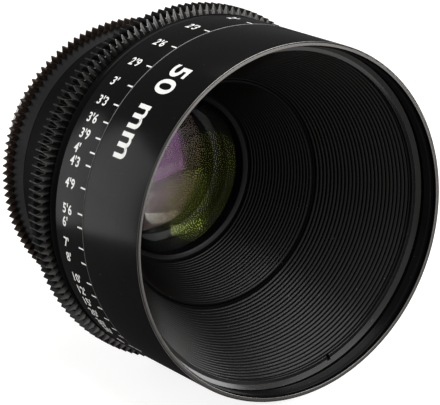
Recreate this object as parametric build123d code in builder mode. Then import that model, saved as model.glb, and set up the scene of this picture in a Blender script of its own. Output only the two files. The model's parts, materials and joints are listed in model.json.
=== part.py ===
from build123d import *
import os
from math import copysign, cos, pi, radians, sin, sqrt

# Cinema prime lens with a 114 mm front, in millimetres. The optical axis is Y, the lens
# looks towards -Y and +Z is up. The origin is the centre of the mount's seating face.
# A depth is counted from the front rim towards the camera. An angle phi goes round the
# axis from the top, towards the left of someone who looks into the lens.

# Clearances and cutters
running_gap = 0.05
slip_gap = 0.1
seat_gap = 0.02
ring_gap = 0.1
stack_gap = 0.3
cement_gap = 0.02
overrun = 1.0

# Front barrel, from the rim backwards
front_step = 10.7
front_length = 31.2
lip_wall = 1.4
lip_chamfer = 0.4
thread_wall = 2.1
thread_start = 2.4
thread_length = 3.0
relief_wall = 1.7
barrel_wall = 2.8
ledge_thickness = 2.7
flange_thickness = 3.0

# Ring that holds the outer ribbed baffle, with its two spanner notches
baffle_ring_depth = 8.3
baffle_ring_height = 2.7
baffle_ring_face = 1.4
baffle_ring_rise = 1.3
baffle_ring_thickness = 1.3
spanner_notch_width = 1.0
spanner_notch_deep = 0.8
spanner_phi = 201.5

# Ribbed baffles
outer_baffle_end = 41.6
outer_rib_count = 26
hood_step = 1.4
glass_ring_flare = 1.1
inner_baffle_flare = 9.2
inner_rib_count = 17
rib_height = 0.6
rib_crest_share = 0.25
baffle_wall = 0.9
baffle_flange = 1.1
baffle_collar = 4.6
flare_gap = 0.6

# Focus ring, from the front barrel backwards
scale_band = 16.5
groove_width = 1.9
groove_deep = 1.3
bead_width = 2.8
neck_width = 3.0
neck_step = 1.0
focus_gear_width = 6.0
focus_gear_rise = 2.2
gear_module = 0.8
tooth_chamfer = 0.35
gear_rim = 3.4
root_land_share = 0.33
tip_land_share = 0.14
dedendum_share = 1.25
scale_shell = 2.2
helicoid_wall = 3.0
focus_throw = 190.0
stop_pin_radius = 0.7
stop_pin_reach = 1.1
stop_pin_seat = 2.0
stop_pin_inset = 1.6
stop_pin_phi = 150.0
ring_screw_radius = 0.9
ring_screw_bite = 1.0
ring_screw_count = 3

# Fixed barrels behind the focus ring
middle_wall = 2.7
journal_rise = 1.7
middle_length = 25.5
retainer_thickness = 1.8
retainer_rise = 3.3
housing_spigot_length = 2.0
housing_wall = 4.0
housing_throat = 12.0
cover_rim = 5.0
cover_step = 1.5
cover_seat = 0.5
cover_end_radius = 35.0
mount_neck_radius = 30.5
mount_neck_length = 4.4
end_wall = 3.0

# Iris ring
iris_ring_length = 11.3
iris_gear_width = 4.1
iris_gear_rise = 1.7
iris_ring_wall = 4.3
iris_gear_rim = 2.2
iris_throw = 40.0
drive_phi = 60.0
drive_setback = 5.2
drive_bar_width = 3.0
drive_stem_length = 2.6
drive_rail_gap = 1.1
drive_rail_height = 2.6
drive_bar_bite = 1.6
drive_clearance = 1.0

# Camera mount: four lugs on a flange, with a 54 mm tail
flange_plate = 2.5
lug_radius = 33.0
lug_arc = 52.0
lug_count = 4
lug_phi = 45.0
tail_radius = 27.0
tail_length = 14.0
tail_wall = 3.3
tail_lip = 1.6
index_notch_width = 4.0
index_notch_deep = 1.5
shim_thickness = 0.2
rear_baffle_length = 2.4

# Optical carriage
carriage_travel = 7.2
sleeve_wall = 1.9
sleeve_length = 39.0
sleeve_setback = 1.0
web_thickness = 4.0
cell_wall = 2.75
spacer_step = 0.6
key_count = 3
key_width = 9.8
key_length = 10.0
key_setback = 2.4
key_phi = 30.0
front_glass_step = 5.2
front_seat = 5.0
glass_ring_face = 1.3
glass_ring_lap = 0.6
second_glass_step = 4.0
stop_glass_radius = 18.0
stop_lip = 1.0
stop_lap = 4.0
rear_stop_lap = 3.5
rear_doublet_radius = 16.5
rear_glass_step = 0.5
rear_cell_wall = 3.45
tail_clearance = 0.5
rear_cell_flange = 1.8

# Glass: front curve, rear curve and rim thickness of each element, and the air before the next.
# A curve is positive where its centre lies behind it.
front_glass_form = (70.0, -150.0, 1.01)
front_air = 0.8
second_glass_form = (36.0, 60.0, 3.67)
second_air = 0.7
front_doublet_a_form = (34.0, 120.0, 0.8)
front_doublet_b_form = (120.0, 21.0, 5.99)
stop_ring_thickness = 0.75
rear_doublet_a_form = (-21.0, 60.0, 8.82)
rear_doublet_b_form = (60.0, -34.0, 0.91)
relay_air = 0.6
relay_glass_form = (90.0, -90.0, 0.76)
last_air = 0.6
last_glass_a_form = (60.0, -70.0, 0.45)
last_glass_b_form = (-70.0, 150.0, 4.86)
spacer_width = 1.6
last_spacer_width = 1.2
spacer_face = 2.5
glass_ring_wall = 1.5
rear_ring_thickness = 1.2
front_spacer_length = 6.2

# Iris unit, with its plane counted from the iris ring's front face
iris_setback = 8.7
aperture_radius = 15.8
blade_count = 11
blade_thickness = 0.15
blade_pitch = 0.2
blade_outer = 22.4
blade_span = 110.0
blade_turn = 36.0
pivot_circle = 24.0
drive_pin_offset = 5.0
blade_pin_radius = 0.5
tab_radius = 1.3
base_thickness = 1.0
actuator_thickness = 1.2
actuator_inner = 22.6
actuator_outer = 28.7
iris_wall = 4.5
fork_prong = 1.6

# Screws
screw_clearance = 0.1
barrel_screw_radius = 1.0
barrel_screw_head = 1.4
barrel_screw_deep = 1.4
barrel_screw_bite = 2.2
barrel_screw_inset = 2.0
barrel_screw_count = 6
housing_screw_radius = 0.8
housing_screw_count = 3
housing_screw_phi = 20.0
mount_screw_radius = 0.8
mount_screw_head = 1.5
mount_screw_deep = 1.2
mount_screw_bite = 2.4
mount_screw_land = 0.4
cell_screw_radius = 0.8
cell_screw_head = 1.5
cell_screw_deep = 1.2
cell_screw_bite = 2.4
cell_screw_count = 3
key_screw_radius = 0.8
key_screw_head = 1.5
key_screw_deep = 1.2
key_screw_reach = 2.8

# Depths along the focus ring and the barrels
focus_start = front_length + ring_gap
band_end = focus_start + scale_band
groove_end = band_end + groove_width
bead_end = groove_end + bead_width
neck_end = bead_end + neck_width
focus_end = neck_end + focus_gear_width
middle_end = focus_end + middle_length
iris_start = middle_end + stack_gap
iris_end = iris_start + iris_ring_length
iris_gear_start = iris_end - iris_gear_width
cover_start = iris_end + stack_gap
housing_end = cover_start + housing_throat
mount_seat = housing_end + mount_neck_length
plate_start = mount_seat + shim_thickness
flange_depth = plate_start + flange_plate
tail_end = flange_depth + tail_length

# Radii that follow from those
iris_bay_inner = actuator_outer + slip_gap
iris_unit_radius = iris_bay_inner + iris_wall
rail_inner = iris_unit_radius + drive_rail_gap
rail_outer = rail_inner + drive_rail_height
housing_bore = rail_outer + drive_clearance
iris_journal_radius = housing_bore + housing_wall
middle_radius = iris_journal_radius + iris_ring_wall
journal_radius = middle_radius + journal_rise
bore_radius = middle_radius - middle_wall
focus_bore = journal_radius + running_gap
front_radius = middle_radius + front_step
lip_inner_radius = front_radius - lip_wall
thread_crest_radius = front_radius - thread_wall
relief_radius = front_radius - relief_wall
baffle_ring_inner = relief_radius - baffle_ring_height
second_glass_radius = stop_glass_radius + second_glass_step
front_glass_radius = second_glass_radius + front_glass_step
rear_glass_radius = rear_doublet_radius + rear_glass_step
stop_edge = stop_glass_radius - stop_lap
rear_stop_edge = rear_doublet_radius - rear_stop_lap
glass_ring_inner = front_glass_radius - glass_ring_lap
inner_baffle_end_radius = front_glass_radius + glass_ring_flare
outer_baffle_end_radius = inner_baffle_end_radius + inner_baffle_flare
inner_baffle_mouth = outer_baffle_end_radius - hood_step
focus_tip_radius = front_radius + focus_gear_rise
iris_tip_radius = middle_radius + iris_gear_rise
focus_teeth = round(2 * focus_tip_radius / gear_module) - 2
iris_teeth = round(2 * iris_tip_radius / gear_module) - 2
focus_root = gear_module * (focus_teeth / 2 - dedendum_share)
iris_root = gear_module * (iris_teeth / 2 - dedendum_share)
focus_gear_seat = focus_root - gear_rim
neck_radius = focus_gear_seat + neck_step
iris_gear_seat = iris_root - iris_gear_rim
sleeve_radius = bore_radius - slip_gap
front_cell_radius = front_glass_radius + cell_wall
front_spacer_inner = second_glass_radius + spacer_step
rear_cell_radius = rear_glass_radius + rear_cell_wall
mount_screw_circle = tail_radius + mount_screw_head + mount_screw_land
tail_bore = tail_radius - tail_wall
throat_radius = rear_cell_radius + tail_clearance


def y_at(depth):
    return depth - flange_depth


def section(*corners):
    """A flat outline through (radius, depth) corners, in the plane that holds the axis."""
    with BuildSketch(Plane.XY) as outline:
        with BuildLine():
            Polyline(*[(radius, y_at(depth)) for radius, depth in corners], close=True)
        make_face()
    return outline.sketch


def turn(*corners, mode=Mode.ADD):
    revolve(section(*corners), axis=Axis.Y, mode=mode)


def tube(inner, outer, start, end, mode=Mode.ADD):
    turn((inner, start), (outer, start), (outer, end), (inner, end), mode=mode)


def facing_front(depth, phi=0):
    """A plane across the axis that looks out of the lens, with x along the angle phi."""
    toward = (-sin(radians(phi)), 0, cos(radians(phi)))
    return Plane(origin=(0, y_at(depth), 0), x_dir=toward, z_dir=(0, -1, 0))


def spoke(phi, depth, radius):
    """A plane square to the radius at phi, with x along the axis."""
    out = Vector(-sin(radians(phi)), 0, cos(radians(phi)))
    return Plane(origin=out * radius + Vector(0, y_at(depth), 0), x_dir=(0, 1, 0), z_dir=out)


def radial_rod(phi, depth, radius, inner, outer, mode=Mode.ADD):
    with BuildSketch(spoke(phi, depth, inner)) as face:
        Circle(radius)
    extrude(face.sketch, amount=outer - inner, mode=mode)


def radial_block(phi, depth, length, width, inner, outer, mode=Mode.ADD):
    with BuildSketch(spoke(phi, depth, inner)) as face:
        Rectangle(length, width)
    extrude(face.sketch, amount=outer - inner, mode=mode)


def axial_rods(count, circle, phi, radius, start, end, mode=Mode.ADD):
    with BuildSketch(facing_front(end, phi)) as faces:
        with PolarLocations(circle, count):
            Circle(radius)
    extrude(faces.sketch, amount=end - start, mode=mode)


def sector(inner, outer, start, end, phi, arc, mode=Mode.ADD):
    """A stretch of tube that goes round by arc degrees from the angle phi."""
    with BuildSketch(facing_front(end, phi)) as face:
        with BuildLine():
            CenterArc((0, 0), outer, 0, arc)
            Line((outer * cos(radians(arc)), outer * sin(radians(arc))),
                 (inner * cos(radians(arc)), inner * sin(radians(arc))))
            CenterArc((0, 0), inner, 0, arc)
            Line((inner, 0), (outer, 0))
        make_face()
    extrude(face.sketch, amount=end - start, mode=mode)


def ribbed_line(front, front_depth, rear, rear_depth, count, height):
    """Saw-tooth corners along a cone: each rib falls off steeply and climbs back slowly."""
    corners = []
    for rib in range(count):
        near = rib / count
        crest = front + (rear - front) * near
        depth = front_depth + (rear_depth - front_depth) * near
        corners += [(crest, depth), (crest + height,
                                     depth + (rear_depth - front_depth) / count * rib_crest_share)]
    return corners + [(rear, rear_depth)]


def gear(teeth, bore, start, end):
    """Straight teeth with bevelled ends round a plain ring."""
    tip = gear_module * (teeth / 2 + 1)
    root = gear_module * (teeth / 2 - dedendum_share)
    step = 360 / teeth
    corners = []
    for tooth in range(teeth):
        for radius, share in ((root, -root_land_share), (tip, -tip_land_share),
                              (tip, tip_land_share), (root, root_land_share)):
            angle = radians(step * (tooth + share))
            corners.append((radius * cos(angle), radius * sin(angle)))
    with BuildSketch(facing_front(end)) as outline:
        with BuildLine():
            Polyline(*corners, close=True)
        make_face()
        Circle(bore, mode=Mode.SUBTRACT)
    extrude(outline.sketch, amount=end - start)
    turn((root - tooth_chamfer, start - overrun), (tip + overrun, start - overrun),
         (tip + overrun, end + overrun),
         (root - tooth_chamfer, end + overrun), (root - tooth_chamfer, end), (root, end),
         (tip, end - tooth_chamfer), (tip, start + tooth_chamfer), (root, start),
         (root - tooth_chamfer, start), mode=Mode.SUBTRACT)


def sag(curve, height):
    """How far a lens surface of radius curve has moved along the axis at a height."""
    return curve - copysign(sqrt(curve * curve - height * height), curve)


def glass(front_vertex, front, rear, thickness, rim, front_edge=None, rear_edge=None):
    """A lens element. Its surfaces are curved out to their edges and flat from there to the rim."""
    rear_vertex = front_vertex + thickness
    front_edge = front_edge or rim
    rear_edge = rear_edge or rim
    with BuildSketch(Plane.XY) as outline:
        with BuildLine():
            ThreePointArc(*[(h, y_at(front_vertex + sag(front, h))) for h in (0, front_edge / 2,
                                                                              front_edge)])
            if front_edge < rim:
                Line((front_edge, y_at(front_vertex + sag(front, front_edge))),
                     (rim, y_at(front_vertex + sag(front, front_edge))))
            Line((rim, y_at(front_vertex + sag(front, front_edge))),
                 (rim, y_at(rear_vertex + sag(rear, rear_edge))))
            if rear_edge < rim:
                Line((rim, y_at(rear_vertex + sag(rear, rear_edge))),
                     (rear_edge, y_at(rear_vertex + sag(rear, rear_edge))))
            ThreePointArc(*[(h, y_at(rear_vertex + sag(rear, h))) for h in (rear_edge, rear_edge / 2, 0)])
            Line((0, y_at(rear_vertex)), (0, y_at(front_vertex)))
        make_face()
    revolve(outline.sketch, axis=Axis.Y)


def baffle_back(depth):
    """Radius of the outer ribbed baffle's plain back at a depth."""
    share = (depth - baffle_shoulder) / (outer_baffle_end - baffle_shoulder)
    front = baffle_ring_inner + rib_height + baffle_wall
    rear = outer_baffle_end_radius + rib_height + baffle_wall
    return front + (rear - front) * share


def across(length, radius):
    """The angle in degrees that a length takes up at a radius."""
    return length / radius * 180 / pi


# The fixed barrel

ring_back = baffle_ring_depth + baffle_ring_thickness
baffle_shoulder = ring_back + baffle_flange
barrel_inner = front_radius - barrel_wall
ledge_start = front_length - ledge_thickness
flange_start = ledge_start - flange_thickness
stop_circle = journal_radius + stop_pin_inset
barrel_screw_circle = barrel_inner - barrel_screw_inset
barrel_screw_end = ledge_start + barrel_screw_bite
stop_end_angle = across(stop_pin_radius + slip_gap, stop_circle)

with BuildPart() as front_barrel:
    turn((lip_inner_radius, 0), (front_radius - lip_chamfer, 0), (front_radius, lip_chamfer),
         (front_radius, front_length), (journal_radius + seat_gap, front_length),
         (journal_radius + seat_gap, ledge_start), (barrel_inner, ledge_start),
         (barrel_inner, baffle_shoulder),
         (relief_radius, baffle_shoulder), (relief_radius, thread_start + thread_length),
         (thread_crest_radius, thread_start + thread_length), (thread_crest_radius, thread_start),
         (lip_inner_radius, thread_start))
    sector(stop_circle - stop_pin_radius - slip_gap, stop_circle + stop_pin_radius + slip_gap,
           front_length - stop_pin_reach - slip_gap, front_length + overrun,
           stop_pin_phi - stop_end_angle, focus_throw + 2 * stop_end_angle, mode=Mode.SUBTRACT)
    axial_rods(barrel_screw_count, barrel_screw_circle, 0, barrel_screw_radius + seat_gap,
               ledge_start - overrun, barrel_screw_end + seat_gap, mode=Mode.SUBTRACT)
front_barrel.part.label = "front_barrel"

with BuildPart() as baffle_ring:
    turn((baffle_ring_inner, baffle_ring_depth), (baffle_ring_inner + baffle_ring_face, baffle_ring_depth),
         (relief_radius - slip_gap, baffle_ring_depth - baffle_ring_rise),
         (relief_radius - slip_gap, ring_back), (baffle_ring_inner, ring_back))
    for notch_phi in (spanner_phi, spanner_phi + 180):
        radial_block(notch_phi, baffle_ring_depth, 2 * spanner_notch_deep, spanner_notch_width,
                     baffle_ring_inner - overrun, relief_radius, mode=Mode.SUBTRACT)
baffle_ring.part.label = "baffle_retaining_ring"

with BuildPart() as outer_baffle:
    turn(*ribbed_line(baffle_ring_inner, ring_back, outer_baffle_end_radius, outer_baffle_end,
                      outer_rib_count,
                      rib_height),
         (baffle_back(outer_baffle_end), outer_baffle_end), (baffle_back(baffle_shoulder), baffle_shoulder),
         (relief_radius - slip_gap, baffle_shoulder), (relief_radius - slip_gap, ring_back))
outer_baffle.part.label = "outer_ribbed_baffle"

# Windows in the main barrel let the guide keys reach the focus ring
journal_end = focus_end - retainer_thickness - stack_gap
key_end = journal_end - key_setback
key_start = key_end - key_length
flare_rise = baffle_back(baffle_shoulder) - baffle_back(outer_baffle_end)
flare_slope = flare_rise / (outer_baffle_end - baffle_shoulder)
flare_end = baffle_shoulder + (baffle_back(baffle_shoulder) + flare_gap - bore_radius) / flare_slope
housing_start = middle_end - housing_spigot_length
housing_screw_depth = middle_end - housing_spigot_length / 2


def key_lanes(width, inner, outer, start, end):
    """Bars across the wall at the three key angles, running along the axis."""
    with BuildSketch(facing_front(end, key_phi)) as lanes:
        with PolarLocations((inner + outer) / 2, key_count):
            Rectangle(outer - inner, width)
    return extrude(lanes.sketch, amount=end - start, mode=Mode.PRIVATE)


with BuildPart() as main_barrel:
    turn((baffle_back(flange_start) + flare_gap, flange_start), (barrel_inner - slip_gap, flange_start),
         (barrel_inner - slip_gap, ledge_start), (journal_radius, ledge_start),
         (journal_radius, journal_end),
         (middle_radius, journal_end), (middle_radius, middle_end), (bore_radius, middle_end),
         (bore_radius, flare_end))
    add(key_lanes(key_width + 2 * slip_gap, bore_radius - overrun, journal_radius + overrun,
                  key_start - carriage_travel - slip_gap, key_end + slip_gap), mode=Mode.SUBTRACT)
    axial_rods(barrel_screw_count, barrel_screw_circle, 0, barrel_screw_radius + screw_clearance,
               flange_start - overrun, ledge_start + overrun, mode=Mode.SUBTRACT)
    axial_rods(barrel_screw_count, barrel_screw_circle, 0, barrel_screw_head + screw_clearance,
               flange_start - overrun, flange_start + barrel_screw_deep + screw_clearance,
               mode=Mode.SUBTRACT)
    for index in range(housing_screw_count):
        radial_rod(housing_screw_phi + index * 360 / housing_screw_count, housing_screw_depth,
                   housing_screw_radius + seat_gap, bore_radius - overrun, middle_radius + overrun,
                   mode=Mode.SUBTRACT)
main_barrel.part.label = "main_barrel"

with BuildPart() as barrel_screws:
    axial_rods(barrel_screw_count, barrel_screw_circle, 0, barrel_screw_radius,
               flange_start + screw_clearance,
               barrel_screw_end)
    axial_rods(barrel_screw_count, barrel_screw_circle, 0, barrel_screw_head,
               flange_start + screw_clearance,
               flange_start + screw_clearance + barrel_screw_deep)
barrel_screws.part.label = "barrel_screws"

with BuildPart() as focus_retainer:
    tube(middle_radius + seat_gap, middle_radius + retainer_rise, journal_end,
         journal_end + retainer_thickness)
focus_retainer.part.label = "focus_retaining_ring"

# The housing carries the iris ring on its journal and the mount on its neck
throat_start = housing_end - end_wall
housing_outer = iris_journal_radius - cover_step - cover_seat
cover_radius = iris_journal_radius + cover_step
cover_bend = cover_start + cover_rim
cover_inner_end = cover_end_radius - cover_step
stem_depth = iris_start + drive_setback
stem_angle = across(drive_bar_width / 2 + slip_gap, housing_bore)

with BuildPart() as rear_housing:
    turn((housing_bore, housing_start), (bore_radius - seat_gap, housing_start),
         (bore_radius - seat_gap, middle_end), (iris_journal_radius, middle_end),
         (iris_journal_radius, cover_start), (housing_outer, cover_start), (housing_outer, cover_bend),
         (cover_inner_end, housing_end), (mount_neck_radius, housing_end), (mount_neck_radius, mount_seat),
         (throat_radius, mount_seat), (throat_radius, throat_start),
         (cover_inner_end - end_wall, throat_start),
         (housing_bore, cover_bend - cover_step))
    sector(housing_bore - overrun, iris_journal_radius + overrun,
           stem_depth - drive_stem_length / 2 - slip_gap, stem_depth + drive_stem_length / 2 + slip_gap,
           drive_phi - stem_angle, iris_throw + 2 * stem_angle, mode=Mode.SUBTRACT)
    axial_rods(lug_count, mount_screw_circle, lug_phi, mount_screw_radius + seat_gap,
               mount_seat - mount_screw_bite - seat_gap, mount_seat + overrun, mode=Mode.SUBTRACT)
    for index in range(housing_screw_count):
        radial_rod(housing_screw_phi + index * 360 / housing_screw_count, housing_screw_depth,
                   housing_screw_radius + seat_gap, bore_radius - middle_wall, bore_radius + overrun,
                   mode=Mode.SUBTRACT)
rear_housing.part.label = "rear_housing"

with BuildPart() as housing_screws:
    for index in range(housing_screw_count):
        radial_rod(housing_screw_phi + index * 360 / housing_screw_count, housing_screw_depth,
                   housing_screw_radius,
                   bore_radius - middle_wall + seat_gap, middle_radius - slip_gap)
housing_screws.part.label = "housing_screws"

with BuildPart() as rear_cover:
    turn((housing_outer + seat_gap, cover_start), (cover_radius, cover_start), (cover_radius, cover_bend),
         (cover_end_radius, housing_end), (cover_inner_end + seat_gap, housing_end),
         (housing_outer + seat_gap, cover_bend))
rear_cover.part.label = "rear_cover"

with BuildPart() as mount_shim:
    tube(throat_radius, mount_neck_radius, mount_seat, plate_start)
    axial_rods(lug_count, mount_screw_circle, lug_phi, mount_screw_radius + screw_clearance,
               mount_seat - overrun,
               plate_start + overrun, mode=Mode.SUBTRACT)
mount_shim.part.label = "mount_shim"

with BuildPart() as mount_flange:
    tube(throat_radius, mount_neck_radius, plate_start, flange_depth)
    for index in range(lug_count):
        sector(mount_neck_radius - overrun, lug_radius, plate_start, flange_depth,
               lug_phi - lug_arc / 2 + index * 360 / lug_count, lug_arc)
    tube(tail_bore, tail_radius, flange_depth - overrun, tail_end)
    tube(throat_radius, tail_radius - tail_lip, tail_end - tail_lip, tail_end)
    radial_block(lug_phi, plate_start + flange_plate / 2, flange_plate + overrun, index_notch_width,
                 lug_radius - index_notch_deep, lug_radius + overrun, mode=Mode.SUBTRACT)
    axial_rods(lug_count, mount_screw_circle, lug_phi, mount_screw_radius + screw_clearance,
               plate_start - overrun,
               flange_depth + overrun, mode=Mode.SUBTRACT)
    axial_rods(lug_count, mount_screw_circle, lug_phi, mount_screw_head + screw_clearance,
               flange_depth - mount_screw_deep - screw_clearance, flange_depth + overrun,
               mode=Mode.SUBTRACT)
mount_flange.part.label = "mount_flange"

with BuildPart() as mount_screws:
    axial_rods(lug_count, mount_screw_circle, lug_phi, mount_screw_radius, mount_seat - mount_screw_bite,
               flange_depth - screw_clearance)
    axial_rods(lug_count, mount_screw_circle, lug_phi, mount_screw_head,
               flange_depth - screw_clearance - mount_screw_deep,
               flange_depth - screw_clearance)
mount_screws.part.label = "mount_screws"

with BuildPart() as tail_baffle:
    tube(throat_radius, tail_bore - seat_gap, tail_end - tail_lip - rear_baffle_length, tail_end - tail_lip)
tail_baffle.part.label = "tail_baffle"

# The focus ring: helicoid ring, scale ring and gear turn as one

helicoid_radius = focus_bore + helicoid_wall
scale_bore = helicoid_radius + seat_gap
groove_floor = front_radius - groove_deep
relief_end = groove_end - ring_screw_radius
ring_screw_depth = (bead_end + neck_end) / 2

with BuildPart() as helicoid_ring:
    turn((focus_bore, focus_start), (helicoid_radius, focus_start), (helicoid_radius, focus_end),
         (middle_radius + retainer_rise + 2 * slip_gap, focus_end),
         (middle_radius + retainer_rise + 2 * slip_gap, journal_end - ring_gap),
         (focus_bore, journal_end - ring_gap))
    axial_rods(1, stop_circle, stop_pin_phi, stop_pin_radius + seat_gap, focus_start - overrun,
               focus_start + stop_pin_seat + seat_gap, mode=Mode.SUBTRACT)
    for index in range(ring_screw_count):
        radial_rod(index * 360 / ring_screw_count, ring_screw_depth, ring_screw_radius + seat_gap,
                   helicoid_radius - ring_screw_bite - seat_gap, helicoid_radius + overrun,
                   mode=Mode.SUBTRACT)
helicoid_ring.part.label = "focus_helicoid_ring"

with BuildPart() as scale_ring:
    turn((scale_bore, focus_start), (front_radius, focus_start), (front_radius, band_end),
         (groove_floor, band_end), (groove_floor, bead_end), (neck_radius, bead_end),
         (neck_radius, neck_end),
         (focus_gear_seat, neck_end), (focus_gear_seat, focus_end), (scale_bore, focus_end))
    with BuildSketch(Plane.XY) as bead:
        with BuildLine():
            ThreePointArc((groove_floor, y_at(groove_end)),
                          (front_radius, y_at((groove_end + bead_end) / 2)),
                          (groove_floor, y_at(bead_end)))
            Line((groove_floor, y_at(bead_end)), (groove_floor - overrun, y_at(bead_end)))
            Line((groove_floor - overrun, y_at(bead_end)), (groove_floor - overrun, y_at(groove_end)))
            Line((groove_floor - overrun, y_at(groove_end)), (groove_floor, y_at(groove_end)))
        make_face()
    revolve(axis=Axis.Y)
    tube(scale_bore - overrun, groove_floor - scale_shell, focus_start + scale_shell, relief_end,
         mode=Mode.SUBTRACT)
    for index in range(ring_screw_count):
        radial_rod(index * 360 / ring_screw_count, ring_screw_depth, ring_screw_radius + seat_gap,
                   scale_bore - overrun, neck_radius + overrun, mode=Mode.SUBTRACT)
scale_ring.part.label = "focus_scale_ring"

with BuildPart() as focus_gear:
    gear(focus_teeth, focus_gear_seat + seat_gap, neck_end, focus_end)
focus_gear.part.label = "focus_gear"

with BuildPart() as stop_pin:
    axial_rods(1, stop_circle, stop_pin_phi, stop_pin_radius, focus_start - ring_gap - stop_pin_reach,
               focus_start + stop_pin_seat)
stop_pin.part.label = "focus_stop_pin"

with BuildPart() as ring_screws:
    for index in range(ring_screw_count):
        radial_rod(index * 360 / ring_screw_count, ring_screw_depth, ring_screw_radius,
                   helicoid_radius - ring_screw_bite, neck_radius - 3 * slip_gap)
ring_screws.part.label = "focus_ring_screws"

# The iris ring, with the bar that reaches in through the housing

stack_start = iris_start + iris_setback
blades_start = stack_start + base_thickness + slip_gap
actuator_start = blades_start + blade_count * blade_pitch + slip_gap
actuator_end = actuator_start + actuator_thickness
bay_end = actuator_end + 2 * slip_gap
rail_start = min(stem_depth - drive_stem_length / 2, actuator_start - carriage_travel - overrun)
rail_end = actuator_end + overrun / 2

with BuildPart() as iris_ring:
    turn((iris_journal_radius + running_gap, iris_start), (middle_radius, iris_start),
         (middle_radius, iris_gear_start), (iris_gear_seat, iris_gear_start), (iris_gear_seat, iris_end),
         (iris_journal_radius + running_gap, iris_end))
    radial_block(drive_phi, stem_depth, drive_stem_length + 2 * seat_gap, drive_bar_width + 2 * seat_gap,
                 iris_journal_radius - overrun, iris_journal_radius + running_gap + drive_bar_bite,
                 mode=Mode.SUBTRACT)
iris_ring.part.label = "iris_ring"

with BuildPart() as iris_gear:
    gear(iris_teeth, iris_gear_seat + seat_gap, iris_gear_start, iris_end)
iris_gear.part.label = "iris_gear"

with BuildPart() as drive_bar:
    radial_block(drive_phi, stem_depth, drive_stem_length, drive_bar_width, rail_inner,
                 iris_journal_radius + drive_bar_bite)
    radial_block(drive_phi, (rail_start + rail_end) / 2, rail_end - rail_start, drive_bar_width, rail_inner,
                 rail_outer)
drive_bar.part.label = "iris_drive_bar"

# Glass, placed outwards from the iris


def front_vertex_of(rear_vertex, shape):
    return rear_vertex - shape[2]


def rear_vertex_of(front_vertex, shape):
    return front_vertex + shape[2]


def lens(front, rear, rim_thickness, front_edge, rear_edge):
    """An element's curves and middle thickness, from its thickness at its rim."""
    return front, rear, rim_thickness + sag(front, front_edge) - sag(rear, rear_edge)


front_glass = lens(*front_glass_form, front_glass_radius, front_glass_radius)
second_glass = lens(*second_glass_form, second_glass_radius, second_glass_radius)
front_doublet_a = lens(*front_doublet_a_form, stop_glass_radius, stop_glass_radius)
front_doublet_b = lens(*front_doublet_b_form, stop_glass_radius, stop_edge)
rear_doublet_a = lens(*rear_doublet_a_form, rear_stop_edge, rear_doublet_radius)
rear_doublet_b = lens(*rear_doublet_b_form, rear_doublet_radius, rear_doublet_radius)
relay_glass = lens(*relay_glass_form, rear_glass_radius, rear_glass_radius)
last_glass_a = lens(*last_glass_a_form, rear_glass_radius, rear_glass_radius)
last_glass_b = lens(*last_glass_b_form, rear_glass_radius, rear_glass_radius)

stop_face = stack_start - stop_ring_thickness
fourth_rear = stop_face - sag(front_doublet_b[1], stop_edge)
fourth_front = front_vertex_of(fourth_rear, front_doublet_b)
third_rear = fourth_front - cement_gap
third_front = front_vertex_of(third_rear, front_doublet_a)
second_rear = third_front - second_air
second_front = front_vertex_of(second_rear, second_glass)
first_rear = second_front - front_air
first_front = front_vertex_of(first_rear, front_glass)
lip_end = bay_end + rear_cell_flange
fifth_front = lip_end + seat_gap - sag(rear_doublet_a[0], rear_stop_edge)
fifth_rear = rear_vertex_of(fifth_front, rear_doublet_a)
sixth_front = fifth_rear + cement_gap
sixth_rear = rear_vertex_of(sixth_front, rear_doublet_b)
seventh_front = sixth_rear + relay_air
seventh_rear = rear_vertex_of(seventh_front, relay_glass)
eighth_front = seventh_rear + last_air
eighth_rear = rear_vertex_of(eighth_front, last_glass_a)
ninth_front = eighth_rear + cement_gap
ninth_rear = rear_vertex_of(ninth_front, last_glass_b)

with BuildPart() as front_element:
    glass(first_front, *front_glass, front_glass_radius)
front_element.part.label = "front_element"

with BuildPart() as second_element:
    glass(second_front, *second_glass, second_glass_radius)
second_element.part.label = "second_element"

with BuildPart() as third_element:
    glass(third_front, *front_doublet_a, stop_glass_radius)
third_element.part.label = "front_doublet_crown"

with BuildPart() as fourth_element:
    glass(fourth_front, *front_doublet_b, stop_glass_radius, rear_edge=stop_edge)
fourth_element.part.label = "front_doublet_flint"

with BuildPart() as fifth_element:
    glass(fifth_front, *rear_doublet_a, rear_doublet_radius, front_edge=rear_stop_edge)
fifth_element.part.label = "rear_doublet_flint"

with BuildPart() as sixth_element:
    glass(sixth_front, *rear_doublet_b, rear_doublet_radius)
sixth_element.part.label = "rear_doublet_crown"

with BuildPart() as seventh_element:
    glass(seventh_front, *relay_glass, rear_glass_radius)
seventh_element.part.label = "relay_element"

with BuildPart() as eighth_element:
    glass(eighth_front, *last_glass_a, rear_glass_radius)
eighth_element.part.label = "last_pair_crown"

with BuildPart() as ninth_element:
    glass(ninth_front, *last_glass_b, rear_glass_radius)
ninth_element.part.label = "rear_element"

# The carriage slides in the main barrel and holds the glass and the iris

first_edge = first_front + sag(front_glass[0], front_glass_radius)
first_back = first_rear + max(sag(front_glass[1], front_spacer_inner),
                              sag(front_glass[1], front_glass_radius))
cell_front = first_edge - front_seat + glass_ring_face
spacer_end = first_back + seat_gap + front_spacer_length
second_seat = second_rear + sag(second_glass[1], second_glass_radius) + seat_gap
lip_radius = stop_glass_radius - stop_lip
third_seat = third_front + sag(front_doublet_a[0], lip_radius) - seat_gap
sleeve_end = housing_start - sleeve_setback
sleeve_start = sleeve_end - sleeve_length
sleeve_inner = sleeve_radius - sleeve_wall
flange_front = stack_start - cell_screw_bite - screw_clearance * 6
web_start = sleeve_end - sleeve_length / 4
web_end = web_start + web_thickness
key_foot = sleeve_radius + seat_gap
key_top = journal_radius
key_screw_depths = [(key_start + key_end) / 2 + shift for shift in (-key_screw_reach, key_screw_reach)]
key_angles = [key_phi + index * 360 / key_count for index in range(key_count)]
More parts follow.
